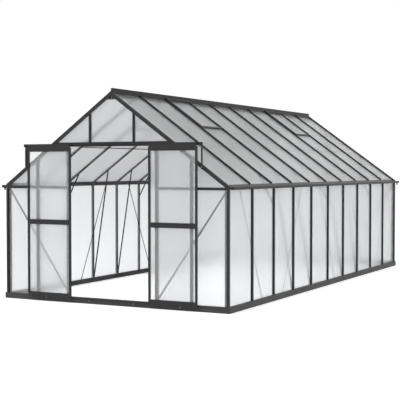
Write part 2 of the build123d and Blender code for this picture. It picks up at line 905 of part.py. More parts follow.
# Doors: stiles, rails and sheets
door_middle = door_inner_edge + door_width / 2
inner_stile = door_inner_edge + stile_width / 2
outer_stile = door_outer_edge - stile_width / 2


def door_stile(place):
    with BuildPart() as stile:
        with BuildSketch(Plane(origin=(place, door_front_face + door_depth / 2, door_foot))):
            Rectangle(stile_width, door_depth)
            Rectangle(stile_width - 2 * tube_wall, door_depth - 2 * tube_wall, mode=Mode.SUBTRACT)
        extrude(amount=door_head - door_foot)
    return stile.part


def door_rail(foot, height):
    length = door_width - 2 * stile_width
    with BuildPart() as rail:
        with BuildSketch(end_plane(door_inner_edge + stile_width)):
            with Locations((door_front_face, foot)):
                Rectangle(door_depth, height, align=Align.MIN)
            with Locations((door_front_face + tube_wall, foot + tube_wall)):
                Rectangle(
                    door_depth - 2 * tube_wall,
                    height - 2 * tube_wall,
                    align=Align.MIN,
                    mode=Mode.SUBTRACT,
                )
        extrude(amount=length)
    return rail.part


with BuildPart() as door_stiles:
    add(door_stile(inner_stile))
    add(door_stile(outer_stile))
write_pair(door_stiles.part, "right_door_stiles", "left_door_stiles")

top_rail_foot = door_head - top_rail_height
with BuildPart() as door_rails:
    add(door_rail(door_foot, bottom_rail_height))
    add(door_rail(mid_rail_foot, mid_rail_height))
    add(door_rail(top_rail_foot, top_rail_height))
write_pair(door_rails.part, "right_door_rails", "left_door_rails")

door_sheet_cells = (
    (door_foot + bottom_rail_height, mid_rail_foot),
    (mid_rail_foot + mid_rail_height, top_rail_foot),
)
with BuildPart() as door_sheets:
    for foot, head in door_sheet_cells:
        with Locations((door_middle, door_front_face + door_pane_setback, foot)):
            Box(
                door_width - 2 * stile_width,
                sheet_thickness,
                head - foot,
                align=(Align.CENTER, Align.MIN, Align.MIN),
            )
write_pair(door_sheets.part, "right_door_sheets", "left_door_sheets")

# Each door hangs on four wheels, whose axles sit in the cover that stands on the door
cover_length = door_width - 2 * cover_inset
cover_back = door_front_face + cover_thickness
wheel_middle = track_foot + track_wall + wheel_gap + wheel_radius
wheel_front = track_front + (track_width - wheel_width) / 2
hanger_places = (door_inner_edge + hanger_inset, door_outer_edge - hanger_inset)
with BuildPart() as door_cover:
    with BuildSketch(section_plane(cover_back)) as cover_face:
        with Locations((door_middle, door_head)):
            Rectangle(cover_length, cover_height, align=(Align.CENTER, Align.MIN))
        fillet(cover_face.vertices().group_by(Axis.Z)[-1], radius=cover_corner)
    extrude(amount=cover_thickness)
    with Locations((door_middle, door_front_face, door_head)):
        Box(cover_length, door_depth, cover_thickness, align=(Align.CENTER, Align.MIN, Align.MIN))
with BuildPart() as door_wheels:
    for place in hanger_places:
        for wheel_place in (place - wheel_pitch / 2, place + wheel_pitch / 2):
            with BuildSketch(Plane(origin=(wheel_place, cover_back, wheel_middle), z_dir=(0, 1, 0))):
                Circle(axle_radius)
            extrude(amount=wheel_front - cover_back)
            with BuildSketch(Plane(origin=(wheel_place, wheel_front, wheel_middle), z_dir=(0, 1, 0))):
                Circle(wheel_radius)
            extrude(amount=wheel_width)
with BuildPart() as door_hangers:
    add(door_cover.part)
    add(door_wheels.part)
write_pair(door_hangers.part, "right_door_hangers", "left_door_hangers")

lip_foot = base_height - guide_drop
lip_back = lip_front + guide_wall
shoe_foot = lip_foot - shoe_gap - shoe_arm
with BuildPart() as door_shoes:
    for place in (door_inner_edge + shoe_inset, door_outer_edge - shoe_inset):
        with BuildSketch(end_plane(place - shoe_length / 2)):
            Polygon(
                (door_back, shoe_foot),
                (lip_back + shoe_gap + shoe_arm, shoe_foot),
                (lip_back + shoe_gap + shoe_arm, base_height - shoe_arm),
                (lip_back + shoe_gap, base_height - shoe_arm),
                (lip_back + shoe_gap, shoe_foot + shoe_arm),
                (lip_front - shoe_gap, shoe_foot + shoe_arm),
                (lip_front - shoe_gap, base_height),
                (door_back, base_height),
            )
        extrude(amount=shoe_length)
write_pair(door_shoes.part, "right_door_shoes", "left_door_shoes")
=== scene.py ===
import math

import bmesh
import bpy
from mathutils import Matrix, Vector


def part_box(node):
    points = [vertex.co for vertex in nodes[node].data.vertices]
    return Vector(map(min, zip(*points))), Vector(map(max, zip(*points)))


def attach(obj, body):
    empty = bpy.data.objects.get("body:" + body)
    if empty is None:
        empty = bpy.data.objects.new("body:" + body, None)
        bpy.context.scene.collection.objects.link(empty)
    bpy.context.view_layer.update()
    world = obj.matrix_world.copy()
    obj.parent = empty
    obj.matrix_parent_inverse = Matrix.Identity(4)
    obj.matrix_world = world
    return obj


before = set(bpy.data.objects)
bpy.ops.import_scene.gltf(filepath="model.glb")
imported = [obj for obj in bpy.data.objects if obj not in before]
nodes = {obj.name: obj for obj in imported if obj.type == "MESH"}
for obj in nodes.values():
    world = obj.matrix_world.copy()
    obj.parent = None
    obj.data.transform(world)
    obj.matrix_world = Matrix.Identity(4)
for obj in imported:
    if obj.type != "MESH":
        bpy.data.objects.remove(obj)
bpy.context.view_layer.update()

# Studio: a white room with a pale floor, and the camera where the photographer
# stood, off the right front corner at eye height with a long lens. A large soft
# light stands to the front left and a smaller one fills from the right.
scene = bpy.context.scene
scene.view_settings.view_transform = "Standard"

camera_place = (6.1251, -12.6629, 1.5437)
camera_dip, camera_turn = 0.031, 0.479
bpy.ops.object.select_all(action="DESELECT")
bpy.ops.object.camera_add(
    location=camera_place, rotation=(math.pi / 2 - camera_dip, 0, camera_turn)
)
camera = bpy.context.object
camera.name = "camera"
camera.data.sensor_width = 36
camera.data.lens = 90.74
camera.data.clip_end = 200
scene.camera = camera


def background_rays(tree):
    """Light path, and an output that is 1 where the camera sees, also through a sheet."""
    path = tree.nodes.new("ShaderNodeLightPath")
    seen = tree.nodes.new("ShaderNodeMath")
    seen.operation = "MAXIMUM"
    tree.links.new(path.outputs["Is Camera Ray"], seen.inputs[0])
    tree.links.new(path.outputs["Is Transmission Ray"], seen.inputs[1])
    return path, seen.outputs[0]


room_glow, backdrop_white = 0.72, 1.0
world = bpy.data.worlds.new("studio")
scene.world = world
world.use_nodes = True
tree = world.node_tree
sky = tree.nodes["Background"]
path, seen = background_rays(tree)
also_glossy = tree.nodes.new("ShaderNodeMath")
also_glossy.operation = "MAXIMUM"
brightness = tree.nodes.new("ShaderNodeMapRange")
brightness.inputs["To Min"].default_value = room_glow
brightness.inputs["To Max"].default_value = backdrop_white
tree.links.new(seen, also_glossy.inputs[0])
tree.links.new(path.outputs["Is Glossy Ray"], also_glossy.inputs[1])
tree.links.new(also_glossy.outputs[0], brightness.inputs["Value"])
tree.links.new(brightness.outputs["Result"], sky.inputs["Strength"])
sky.inputs["Color"].default_value = (1, 1, 1, 1)


def studio_light(name, place, aim, size, power):
    """Square soft light at a place, turned towards a point."""
    bpy.ops.object.light_add(type="AREA", location=place)
    light = bpy.context.object
    light.name = name
    light.data.shape = "SQUARE"
    light.data.size = size
    light.data.energy = power
    light.rotation_euler = (Vector(aim) - Vector(place)).to_track_quat("-Z", "Y").to_euler()


studio_light("key_light", place=(-9, -9, 12), aim=(0, -1, 1), size=7, power=900)
studio_light("fill_light", place=(13, -4, 7), aim=(0, 0, 1), size=5, power=350)

floor_size, floor_glow = 120, 0.38
bpy.ops.mesh.primitive_plane_add(size=floor_size)
floor = bpy.context.object
floor.name = "floor"
floor_paint = bpy.data.materials.new("floor_paint")
floor_paint.use_nodes = True
tree = floor_paint.node_tree
paint = tree.nodes["Principled BSDF"]
paint.inputs["Base Color"].default_value = (0.9, 0.9, 0.9, 1)
paint.inputs["Roughness"].default_value = 0.9
paint.inputs["Emission Color"].default_value = (1, 1, 1, 1)
path, seen = background_rays(tree)
glow = tree.nodes.new("ShaderNodeMath")
glow.operation = "MULTIPLY"
glow.inputs[1].default_value = floor_glow
tree.links.new(seen, glow.inputs[0])
tree.links.new(glow.outputs[0], paint.inputs["Emission Strength"])
floor.data.materials.append(floor_paint)


# Base frame: folded galvanised steel rails with a dark powder coat, mitred and
# joined at the corners. They stand on the ground and carry every post and bar,
# and small bolts clamp the bars to them.
def coating_group():
    """Colour, roughness and relief of a powder coat with dust, and with edges lighter as wear and
    as a painted highlight.
    """
    group = bpy.data.node_groups.new("powder_coat", "ShaderNodeTree")
    for name, kind, value in (
        ("Colour", "NodeSocketColor", (0.05, 0.05, 0.055, 1)),
        ("Worn And Highlight Colour", "NodeSocketColor", (0.2, 0.2, 0.21, 1)),
        ("Dust Colour", "NodeSocketColor", (0.35, 0.34, 0.32, 1)),
        ("Dust", "NodeSocketFloat", 0.2),
        ("Dust Height", "NodeSocketFloat", 0.12),
        ("Wear And Highlight", "NodeSocketFloat", 0.3),
        ("Gloss Roughness", "NodeSocketFloat", 0.42),
    ):
        socket = group.interface.new_socket(name=name, in_out="INPUT", socket_type=kind)
        socket.default_value = value
    group.interface.new_socket(name="Colour", in_out="OUTPUT", socket_type="NodeSocketColor")
    group.interface.new_socket(name="Roughness", in_out="OUTPUT", socket_type="NodeSocketFloat")
    group.interface.new_socket(name="Relief", in_out="OUTPUT", socket_type="NodeSocketFloat")
    new, link = group.nodes.new, group.links.new
    given = new("NodeGroupInput")
    out = new("NodeGroupOutput")
    place = new("ShaderNodeTexCoord")
    peel = new("ShaderNodeTexNoise")
    peel.inputs["Scale"].default_value = 900
    peel.inputs["Detail"].default_value = 2
    cloud = new("ShaderNodeTexNoise")
    cloud.inputs["Scale"].default_value = 3.5
    cloud.inputs["Detail"].default_value = 6
    link(place.outputs["Object"], peel.inputs["Vector"])
    link(place.outputs["Object"], cloud.inputs["Vector"])

    # Worn edges and painted highlight: where the rounded normal leaves the true one, the coat
    # turns lighter, as wear and as a painted highlight of edges catching light.
    edge = new("ShaderNodeBevel")
    edge.samples = 4
    edge.inputs["Radius"].default_value = 0.0018
    facet = new("ShaderNodeNewGeometry")
    match = new("ShaderNodeVectorMath")
    match.operation = "DOT_PRODUCT"
    link(edge.outputs["Normal"], match.inputs[0])
    link(facet.outputs["Normal"], match.inputs[1])
    rim = new("ShaderNodeMapRange")
    rim.inputs["From Min"].default_value = 0.995
    rim.inputs["From Max"].default_value = 0.80
    link(match.outputs["Value"], rim.inputs["Value"])
    worn_and_highlight = new("ShaderNodeMath")
    worn_and_highlight.operation = "MULTIPLY"
    link(rim.outputs["Result"], worn_and_highlight.inputs[0])
    link(given.outputs["Wear And Highlight"], worn_and_highlight.inputs[1])

    # Dust: patches that thin out from the ground up to the dust height.
    thin_dust = 0.12
    height = new("ShaderNodeSeparateXYZ")
    link(place.outputs["Object"], height.inputs["Vector"])
    settle = new("ShaderNodeMapRange")
    settle.inputs["From Min"].default_value = 0
    settle.inputs["To Min"].default_value = 1
    settle.inputs["To Max"].default_value = thin_dust
    link(height.outputs["Z"], settle.inputs["Value"])
    link(given.outputs["Dust Height"], settle.inputs["From Max"])
    patchy = new("ShaderNodeMath")
    patchy.operation = "MULTIPLY"
    link(settle.outputs["Result"], patchy.inputs[0])
    link(cloud.outputs["Fac"], patchy.inputs[1])
    dusty = new("ShaderNodeMath")
    dusty.operation = "MULTIPLY"
    link(patchy.outputs[0], dusty.inputs[0])
    link(given.outputs["Dust"], dusty.inputs[1])

    rubbed_and_highlit = new("ShaderNodeMix")
    rubbed_and_highlit.data_type = "RGBA"
    link(worn_and_highlight.outputs[0], rubbed_and_highlit.inputs["Factor"])
    link(given.outputs["Colour"], rubbed_and_highlit.inputs["A"])
    link(given.outputs["Worn And Highlight Colour"], rubbed_and_highlit.inputs["B"])
    dusted = new("ShaderNodeMix")
    dusted.data_type = "RGBA"
    link(dusty.outputs[0], dusted.inputs["Factor"])
    link(rubbed_and_highlit.outputs["Result"], dusted.inputs["A"])
    link(given.outputs["Dust Colour"], dusted.inputs["B"])
    link(dusted.outputs["Result"], out.inputs["Colour"])

    dust_roughness = 0.6
    matt = new("ShaderNodeMath")
    matt.operation = "MULTIPLY_ADD"
    matt.inputs[1].default_value = dust_roughness
    link(dusty.outputs[0], matt.inputs[0])
    link(given.outputs["Gloss Roughness"], matt.inputs[2])
    link(matt.outputs[0], out.inputs["Roughness"])
    link(peel.outputs["Fac"], out.inputs["Relief"])
    return group


powder_coat = coating_group()


def coated(name, colour, dust, wear_and_highlight, roughness, ior=1.4):
    """Powder-coated metal in one colour, as a material."""
    material = bpy.data.materials.new(name)
    material.use_nodes = True
    new, link = material.node_tree.nodes.new, material.node_tree.links.new
    shader = material.node_tree.nodes["Principled BSDF"]
    coat = new("ShaderNodeGroup")
    coat.node_tree = powder_coat
    coat.inputs["Colour"].default_value = (*colour, 1)
    coat.inputs["Dust"].default_value = dust
    coat.inputs["Wear And Highlight"].default_value = wear_and_highlight
    coat.inputs["Gloss Roughness"].default_value = roughness
    shader.inputs["IOR"].default_value = ior
    bump = new("ShaderNodeBump")
    bump.inputs["Strength"].default_value = 0.12
    bump.inputs["Distance"].default_value = 0.0004
    link(coat.outputs["Colour"], shader.inputs["Base Color"])
    link(coat.outputs["Roughness"], shader.inputs["Roughness"])
    link(coat.outputs["Relief"], bump.inputs["Height"])
    link(bump.outputs["Normal"], shader.inputs["Normal"])
    return material


def finish_nodes(material, *names):
    """Gives CAD nodes one material."""
    for name in names:
        nodes[name].data.materials.clear()
        nodes[name].data.materials.append(material)


base_coat = coated("base_coat", (0.02, 0.02, 0.022), dust=0.25, wear_and_highlight=0.3, roughness=0.42)
finish_nodes(base_coat, "base_frame")


def start_piece():
    """Leaves nothing selected, so that the next primitive stands alone."""
    if bpy.context.object and bpy.context.object.mode != "OBJECT":
        bpy.ops.object.mode_set(mode="OBJECT")
    bpy.ops.object.select_all(action="DESELECT")


def pick_faces(piece, test):
    """Selects the faces of a piece in edit mode whose middle and normal pass a test."""
    bpy.ops.object.mode_set(mode="EDIT")
    bpy.ops.mesh.select_mode(type="FACE")
    bpy.ops.mesh.select_all(action="DESELECT")
    shape = bmesh.from_edit_mesh(piece.data)
    for face in shape.faces:
        face.select_set(bool(test(face.calc_center_median(), face.normal)))
    bmesh.update_edit_mesh(piece.data)


def push(move):
    """Extrudes the picked faces and moves them."""
    bpy.ops.mesh.extrude_region_move(TRANSFORM_OT_translate={"value": move})


def finish_piece(piece, name, material, body):
    """Closes a piece: its place in its mesh, its shading, material and body."""
    smooth_angle = math.radians(40)
    start_piece()
    piece.select_set(True)
    bpy.context.view_layer.objects.active = piece
    bpy.ops.object.transform_apply(location=True, rotation=True, scale=True)
    bpy.ops.object.shade_smooth_by_angle(angle=smooth_angle)
    piece.name = name
    piece.data.name = name
    piece.data.materials.clear()
    piece.data.materials.append(material)
    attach(piece, body)


def place_copies(model, spots):
    """Copies a model to each spot, a place and a turn, joins them and drops the model."""
    copies = []
    for place, turn in spots:
        start_piece()
        model.select_set(True)
        bpy.context.view_layer.objects.active = model
        bpy.ops.object.duplicate(linked=False)
        copy = bpy.context.object
        copy.location = place
        copy.rotation_euler = turn
        copies.append(copy)
    start_piece()
    for copy in copies:
        copy.select_set(True)
    bpy.context.view_layer.objects.active = copies[0]
    if len(copies) > 1:
        bpy.ops.object.join()
    bpy.ops.object.transform_apply(location=True, rotation=True, scale=True)
    joined = bpy.context.object
    bpy.data.objects.remove(model)
    return joined


def bolt_model(head, washer, height):
    """Domed bolt head with a socket, on its washer, standing up from the origin."""
    washer_thick = 0.0012
    wall, dome, socket = height * 0.55, height * 0.45, height * 0.6
    dome_width, socket_rim = head * 0.28, head * 0.3
    start_piece()
    bpy.ops.mesh.primitive_cylinder_add(
        vertices=12, radius=washer, depth=washer_thick, location=(0, 0, washer_thick / 2)
    )
    bolt = bpy.context.object
    bpy.ops.object.transform_apply(location=True)
    pick_faces(bolt, lambda middle, normal: normal.z > 0.9)
    bpy.ops.mesh.inset(thickness=washer - head)
    push((0, 0, wall))
    bpy.ops.mesh.inset(thickness=dome_width, depth=dome)
    bpy.ops.mesh.inset(thickness=socket_rim)
    push((0, 0, -socket))
    bpy.ops.object.mode_set(mode="OBJECT")
    return bolt


bolt_steel = bpy.data.materials.new("bolt_steel")
bolt_steel.use_nodes = True
tree = bolt_steel.node_tree
steel = tree.nodes["Principled BSDF"]
steel.inputs["Metallic"].default_value = 0.9
place = tree.nodes.new("ShaderNodeTexCoord")
grain = tree.nodes.new("ShaderNodeTexNoise")
grain.inputs["Scale"].default_value = 260
grain.inputs["Detail"].default_value = 3
tree.links.new(place.outputs["Object"], grain.inputs["Vector"])
steel_tone = tree.nodes.new("ShaderNodeMix")
steel_tone.data_type = "RGBA"
steel_tone.inputs["A"].default_value = (0.42, 0.42, 0.43, 1)
steel_tone.inputs["B"].default_value = (0.62, 0.62, 0.63, 1)
tree.links.new(grain.outputs["Fac"], steel_tone.inputs["Factor"])
tree.links.new(steel_tone.outputs["Result"], steel.inputs["Base Color"])
steel_rough = tree.nodes.new("ShaderNodeMapRange")
steel_rough.inputs["To Min"].default_value = 0.28
steel_rough.inputs["To Max"].default_value = 0.46
tree.links.new(grain.outputs["Fac"], steel_rough.inputs["Value"])
tree.links.new(steel_rough.outputs["Result"], steel.inputs["Roughness"])

quarter = math.pi / 2
face_front, face_back = (quarter, 0, 0), (-quarter, 0, 0)
face_right, face_left = (0, quarter, 0), (0, -quarter, 0)
face_out = {-1: face_left, 1: face_right}
face_in = {-1: face_right, 1: face_left}

base_low, base_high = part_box("base_frame")
base_right, base_front, base_top = base_high[0], base_low[1], base_high[2]
bay, first_line = 0.605, 0.0305
bar_lines = [base_front + first_line + bay * number for number in range(1, 10)]
base_bolt_height = 0.033
base_spots, side_spots = [], []
for side in (-1, 1):
    for across in (0.296, 0.89):
        base_spots.append(((side * across, base_front, base_bolt_height), face_front))
    for line in bar_lines:
        side_spots.append(((side * base_right, line, base_bolt_height), face_out[side]))
base_bolts = place_copies(bolt_model(head=0.004, washer=0.0056, height=0.003), base_spots)
finish_piece(base_bolts, "base_bolts", bolt_steel, "house")
side_bolts = place_copies(bolt_model(head=0.004, washer=0.0056, height=0.003), side_spots)
finish_piece(side_bolts, "base_side_bolts", base_coat, "house")

# Frame of extruded aluminium bars in the same dark powder coat: corner posts,
# wall bars, rafters, roof bars, beams and crossbars. Small bolts through the
# inner flanges hold each bar at its foot and head, and the purlins to the roof.
frame_coat = coated("frame_coat", (0.018, 0.018, 0.02), dust=0.1, wear_and_highlight=0.25, roughness=0.36)
finish_nodes(
    frame_coat,
    "corner_posts",
    "left_wall_bars",
    "right_wall_bars",
    "eave_beams",
    "left_roof_bars",
    "right_roof_bars",
    "front_rafters",
    "back_rafters",
    "door_posts",
    "front_wall_bars",
    "front_crossbars",
    "front_head_beam",
    "back_wall_bars",
    "back_crossbars",
    "purlins",
    "apex_gussets",
)

wall_face, eave, slope = 1.476, 1.36, math.radians(35.6)
front_face = base_front + 0.009
inner_flange = wall_face - 0.0275
beam_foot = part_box("eave_beams")[0][2]
foot_bolt, head_bolt = base_top + 0.018, beam_foot - 0.014
flange_middle = 0.0112
flange_spots = []
for side in (-1, 1):
    for line in bar_lines:
        for edge in (-flange_middle, flange_middle):
            for height in (foot_bolt, head_bolt):
                place = (side * inner_flange, line + edge, height)
                flange_spots.append((place, face_in[side]))
flange_bolts = place_copies(bolt_model(head=0.003, washer=0.0044, height=0.0026), flange_spots)
finish_piece(flange_bolts, "wall_bar_bolts", bolt_steel, "house")


def roof_spot(side, up, depth, line):
    """Place on a slope: up the roof from the eave, below its outer plane, along the house."""
    across = wall_face - up * math.cos(slope) - depth * math.sin(slope)
    height = eave + up * math.sin(slope) - depth * math.cos(slope)
    return (side * across, line, height)


purlin_up, purlin_depth = 0.8095, 0.033
under_roof = {side: (0, math.pi + side * slope, 0) for side in (-1, 1)}
purlin_spots = []
for side in (-1, 1):
    for line in bar_lines:
        place = roof_spot(side, purlin_up, purlin_depth, line)
        purlin_spots.append((place, under_roof[side]))
purlin_bolts = place_copies(bolt_model(head=0.0025, washer=0.0036, height=0.0024), purlin_spots)
finish_piece(purlin_bolts, "purlin_bolts", bolt_steel, "house")


# Corner angles inside the frame: flat strips of aluminium behind the corner
# posts, from the base rail to the eave. They hold the edges of the end sheets
# and stiffen the posts.
def block(size, middle):
    """Adds a block of a size about its middle, as the start of a piece."""
    start_piece()
    bpy.ops.mesh.primitive_cube_add(size=1, location=middle)
    piece = bpy.context.object
    piece.scale = size
    bpy.ops.object.transform_apply(location=True, scale=True)
    return piece


angle_wide, angle_thick, angle_tall, angle_round = 0.046, 0.0025, 1.24, 0.0008
corner_angle = block((angle_wide, angle_thick, angle_tall), (0, 0, angle_tall / 2))
pick_faces(corner_angle, lambda middle, normal: normal.x > 0.9)
bpy.ops.mesh.bevel(offset=angle_round, segments=2, affect="EDGES")
bpy.ops.object.mode_set(mode="OBJECT")
corner_wide, angle_inset, angle_back, angle_gap = 0.027, 0.010, 0.0262, 0.001
inner_corner = wall_face - corner_wide - angle_inset
corner_spots = []
for side in (-1, 1):
    for end in (-1, 1):
        line = end * (-front_face - angle_back)
        place = (side * inner_corner, line, base_top + angle_gap)
        corner_spots.append((place, (0, 0, 0 if side > 0 else math.pi)))
corner_angles = place_copies(corner_angle, corner_spots)
finish_piece(corner_angles, "corner_angles", frame_coat, "house")

# Bracing: flat bars from the wall bars up to the roof bars, thin diagonal
# straps along the walls and ends, and gusset plates at the two apexes. All are
# coated steel, bolted to the bars at their ends.
brace_coat = coated("brace_coat", (0.022, 0.022, 0.024), dust=0.06, wear_and_highlight=0.2, roughness=0.4)
finish_nodes(
    brace_coat,
    "struts",
    "knee_braces",
    "left_wall_straps",
    "right_wall_straps",
    "end_wall_straps",
)

strut_rise, knee_drop, knee_rise, strut_foot = 0.158, 0.205, 0.118, 0.013
brace_inset, roof_bar_depth, half_brace = 0.007, 0.024, 0.005
brace_holes = (0.022, 0.972)


def brace_spots(numbers, foot, head):
    """Bolt places near both ends of the braces at some bars, on the side to the front."""
    spots = []
    foot_x = inner_flange - brace_inset
    head_x = wall_face - (head - eave + roof_bar_depth / math.cos(slope)) / math.tan(slope)
    for number in numbers:
        line = bar_lines[number - 1] - half_brace
        for side in (-1, 1):
            for share in brace_holes:
                across = foot_x + share * (head_x - foot_x)
                height = foot + share * (head - foot)
                spots.append(((side * across, line, height), face_front))
    return spots


strut_spots = brace_spots((3, 4, 6, 7), base_top + strut_foot, eave + strut_rise)
knee_spots = brace_spots((2, 5, 8), eave - knee_drop, eave + knee_rise)
brace_bolt = bolt_model(head=0.0038, washer=0.0052, height=0.003)
brace_bolts = place_copies(brace_bolt, strut_spots + knee_spots)
finish_piece(brace_bolts, "brace_bolts", bolt_steel, "house")

strap_bays = ((0, 1), (3, 2), (4, 5), (6, 7), (9, 8))
strap_holes, strap_thick, end_strap_depth = (0.009, 0.991), 0.0015, 0.029
end_strap_foot, end_strap_head = (0.596, base_top + 0.036), (1.436, 1.3)
strap_spots = []
for side in (-1, 1):
    for top_bay, foot_bay in strap_bays:
        foot_line = bar_lines[0] + (foot_bay - 0.5) * bay
        top_line = bar_lines[0] + (top_bay - 0.5) * bay
        for share in strap_holes:
            line = foot_line + share * (top_line - foot_line)
            height = base_top + share * (beam_foot - base_top)
            place = (side * (inner_flange - strap_thick), line, height)
            strap_spots.append((place, face_in[side]))
    for end, turn in ((-1, face_back), (1, face_front)):
        face = end * (-front_face - end_strap_depth)
        for across, height in (end_strap_foot, end_strap_head):
            strap_spots.append(((side * across, face, height), turn))
strap_bolts = place_copies(bolt_model(head=0.0036, washer=0.005, height=0.0028), strap_spots)
finish_piece(strap_bolts, "strap_bolts", bolt_steel, "house")

gusset_depth, gusset_row, gusset_top, gusset_pitch = 0.0175, 2.3315, 2.352, 0.036
gusset_holes = [(across, gusset_row) for across in (-gusset_pitch, 0, gusset_pitch)]
gusset_spots = []
for end, turn in ((-1, face_front), (1, face_back)):
    face = end * (-front_face - gusset_depth)
    for across, height in (*gusset_holes, (0, gusset_top)):
        gusset_spots.append(((across, face, height), turn))
gusset_bolts = place_copies(bolt_model(head=0.0036, washer=0.005, height=0.0028), gusset_spots)
finish_piece(gusset_bolts, "gusset_bolts", bolt_steel, "house")


# Sheets of translucent twin-wall polycarbonate, 4 mm thick, held in the bars.
# Fine ribs run down each sheet between its two skins, and they blur whatever
# stands behind it.
def rib_group():
    """Shade and relief of ribs that repeat along a direction."""
    group = bpy.data.node_groups.new("sheet_ribs", "ShaderNodeTree")
    group.interface.new_socket(name="Across", in_out="INPUT", socket_type="NodeSocketVector")
    pitch = group.interface.new_socket(name="Pitch", in_out="INPUT", socket_type="NodeSocketFloat")
    pitch.default_value = 0.006
    group.interface.new_socket(name="Rib", in_out="OUTPUT", socket_type="NodeSocketFloat")
    group.interface.new_socket(name="Relief", in_out="OUTPUT", socket_type="NodeSocketFloat")
    new, link = group.nodes.new, group.links.new
    given = new("NodeGroupInput")
    out = new("NodeGroupOutput")
    place = new("ShaderNodeTexCoord")
    along = new("ShaderNodeVectorMath")
    along.operation = "DOT_PRODUCT"
    link(place.outputs["Object"], along.inputs[0])
    link(given.outputs["Across"], along.inputs[1])
    count = new("ShaderNodeMath")
    count.operation = "DIVIDE"
    link(along.outputs["Value"], count.inputs[0])
    link(given.outputs["Pitch"], count.inputs[1])
    wave = new("ShaderNodeMath")
    wave.operation = "PINGPONG"
    wave.inputs[1].default_value = 0.5
    link(count.outputs[0], wave.inputs[0])
    rib_half = 0.12
    line = new("ShaderNodeMapRange")
    line.interpolation_type = "SMOOTHSTEP"
    line.inputs["From Min"].default_value = rib_half
    line.inputs["From Max"].default_value = 0.0
    link(wave.outputs[0], line.inputs["Value"])
    link(line.outputs["Result"], out.inputs["Rib"])
    link(wave.outputs[0], out.inputs["Relief"])
    return group


sheet_ribs = rib_group()
shadow_let_through = 0.88


def sheet_material(name, across, clear, ribbed, see_through=0.85):
    """Twin-wall sheet whose ribs repeat across a direction, and which casts a faint shadow."""
    material = bpy.data.materials.new(name)
    material.use_nodes = True
    new, link = material.node_tree.nodes.new, material.node_tree.links.new
    shader = material.node_tree.nodes["Principled BSDF"]
    shader.inputs["Transmission Weight"].default_value = see_through
    shader.inputs["IOR"].default_value = 1.15
    shader.inputs["Roughness"].default_value = 0.28
    ribs = new("ShaderNodeGroup")
    ribs.node_tree = sheet_ribs
    ribs.inputs["Across"].default_value = across
    tint = new("ShaderNodeMix")
    tint.data_type = "RGBA"
    tint.inputs["A"].default_value = (*clear, 1)
    tint.inputs["B"].default_value = (*ribbed, 1)
    link(ribs.outputs["Rib"], tint.inputs["Factor"])
    link(tint.outputs["Result"], shader.inputs["Base Color"])
    bump = new("ShaderNodeBump")
    bump.inputs["Strength"].default_value = 0.25
    bump.inputs["Distance"].default_value = 0.0006
    link(ribs.outputs["Relief"], bump.inputs["Height"])
    link(bump.outputs["Normal"], shader.inputs["Normal"])
    path = new("ShaderNodeLightPath")
    solid = new("ShaderNodeMath")
    solid.operation = "MULTIPLY_ADD"
    solid.inputs[1].default_value = -shadow_let_through
    solid.inputs[2].default_value = 1
    link(path.outputs["Is Shadow Ray"], solid.inputs[0])
    link(solid.outputs[0], shader.inputs["Alpha"])
    return material


along_house, across_house = (0, 1, 0), (1, 0, 0)
# Side wall sheets: the same polycarbonate as the end sheets, a little darker in colour as painted
# shade on the walls.
side_sheet = sheet_material(
    "side_sheet", along_house, clear=(0.87, 0.875, 0.88), ribbed=(0.78, 0.785, 0.79)
)
finish_nodes(side_sheet, "left_wall_sheets", "right_wall_sheets")
end_sheet = sheet_material(
    "end_sheet", across_house, clear=(0.93, 0.935, 0.94), ribbed=(0.84, 0.845, 0.85)
)
finish_nodes(
    end_sheet,
    "front_wall_sheets",
    "front_gable_sheets",
    "back_wall_sheets",
    "back_gable_sheets",
    "left_door_sheets",
    "right_door_sheets",
)
# Roof sheets: the same polycarbonate, much darker in colour as painted shade on the roof.
roof_sheet = sheet_material(
    "roof_sheet",
    along_house,
    clear=(0.69, 0.695, 0.7),
    ribbed=(0.58, 0.585, 0.59),
    see_through=0.94,
)
finish_nodes(roof_sheet, "left_roof_sheets", "right_roof_sheets", "roof_vent_sheets")

# Glazing strips: black rubber profiles, extruded in long lengths and pressed in
# along both sides of every bar, where its tube meets the sheets.
rubber = bpy.data.materials.new("rubber")
rubber.use_nodes = True
tree = rubber.node_tree
gum = tree.nodes["Principled BSDF"]
gum.inputs["IOR"].default_value = 1.4
place = tree.nodes.new("ShaderNodeTexCoord")
bloom = tree.nodes.new("ShaderNodeTexNoise")
bloom.inputs["Scale"].default_value = 40
bloom.inputs["Detail"].default_value = 5
tree.links.new(place.outputs["Object"], bloom.inputs["Vector"])
gum_tone = tree.nodes.new("ShaderNodeMix")
gum_tone.data_type = "RGBA"
gum_tone.inputs["A"].default_value = (0.01, 0.01, 0.01, 1)
gum_tone.inputs["B"].default_value = (0.024, 0.024, 0.025, 1)
tree.links.new(bloom.outputs["Fac"], gum_tone.inputs["Factor"])
tree.links.new(gum_tone.outputs["Result"], gum.inputs["Base Color"])
gum_rough = tree.nodes.new("ShaderNodeMapRange")
gum_rough.inputs["To Min"].default_value = 0.55
gum_rough.inputs["To Max"].default_value = 0.8
tree.links.new(bloom.outputs["Fac"], gum_rough.inputs["Value"])
tree.links.new(gum_rough.outputs["Result"], gum.inputs["Roughness"])


def strip_model(width, proud, length):
    """Strip along Z with rounded outer edges, standing proud of the XZ plane towards +Y."""
    rounding = min(width, proud) * 0.35
    strip = block((width, proud, length), (0, proud / 2, length / 2))
    pick_faces(strip, lambda middle, normal: normal.y > 0.9)
    bpy.ops.mesh.bevel(offset=rounding, segments=2, affect="EDGES")
    bpy.ops.object.mode_set(mode="OBJECT")
    return strip


def turn_to(along, out):
    """Turn of a strip whose length runs along one direction and whose face looks out."""
    along, out = Vector(along), Vector(out)
    side = out.cross(along)
    return tuple(Matrix((side, out, along)).transposed().to_euler())


